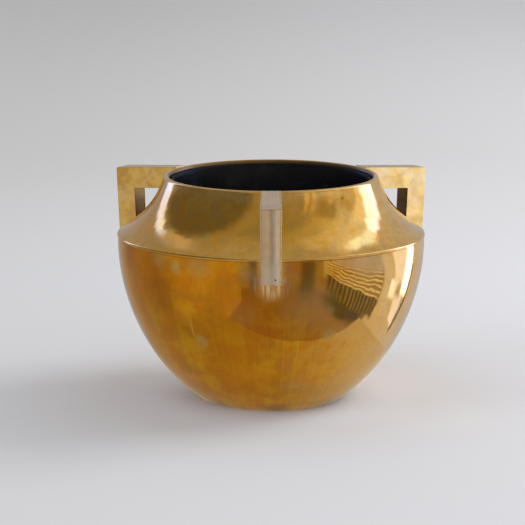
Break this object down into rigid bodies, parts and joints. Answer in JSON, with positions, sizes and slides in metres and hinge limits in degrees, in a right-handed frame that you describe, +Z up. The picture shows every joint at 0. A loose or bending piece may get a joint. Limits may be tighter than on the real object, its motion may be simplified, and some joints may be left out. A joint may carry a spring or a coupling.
{
  "type": "planter pot",
  "caption": "Round brass planter pot with a flat base, full belly, sharp ridge, concave neck, rolled lip, angular box handles over the ridge and a black lift-out liner.",
  "frame": {"origin": "centre of the flat base, on the pot's turning axis", "axes": "+Z up along the turning axis; -Y towards one handle, with the other two 120 degrees either side of it; +X to the right when that handle faces the viewer"},
  "size_m": [0.3124, 0.3246, 0.2184],
  "materials": {
    "bowl_brass": "polished brass with a warm amber patina and fine vertical streaks",
    "handle_brass": "satin, mottled brass, paler than the bowl",
    "wire_brass": "plain drawn brass, hidden in the rolled lip",
    "liner_black": "smooth near-black gloss"
  },
  "bodies": {
    "pot": {"lower_bowl": "bowl_brass", "neck_shell": "bowl_brass", "rim_wire": "wire_brass", "handle_front_top_plate": "handle_brass", "handle_front_outer_plate": "handle_brass", "handle_front_under_plate": "handle_brass", "handle_front_inner_plate": "handle_brass", "handle_front_foot_plate": "handle_brass", "handle_front_left_cheek": "handle_brass", "handle_front_right_cheek": "handle_brass", "handle_right_top_plate": "handle_brass", "handle_right_outer_plate": "handle_brass", "handle_right_under_plate": "handle_brass", "handle_right_inner_plate": "handle_brass", "handle_right_foot_plate": "handle_brass", "handle_right_left_cheek": "handle_brass", "handle_right_right_cheek": "handle_brass", "handle_left_top_plate": "handle_brass", "handle_left_outer_plate": "handle_brass", "handle_left_under_plate": "handle_brass", "handle_left_inner_plate": "handle_brass", "handle_left_foot_plate": "handle_brass", "handle_left_left_cheek": "handle_brass", "handle_left_right_cheek": "handle_brass"},
    "liner": {"liner": "liner_black"}
  },
  "joints": [
    {"name": "liner_lift", "type": "slide", "parent": "pot", "child": "liner", "axis": [0, 0, 1], "range_m": [0, 0.225]}
  ]
}
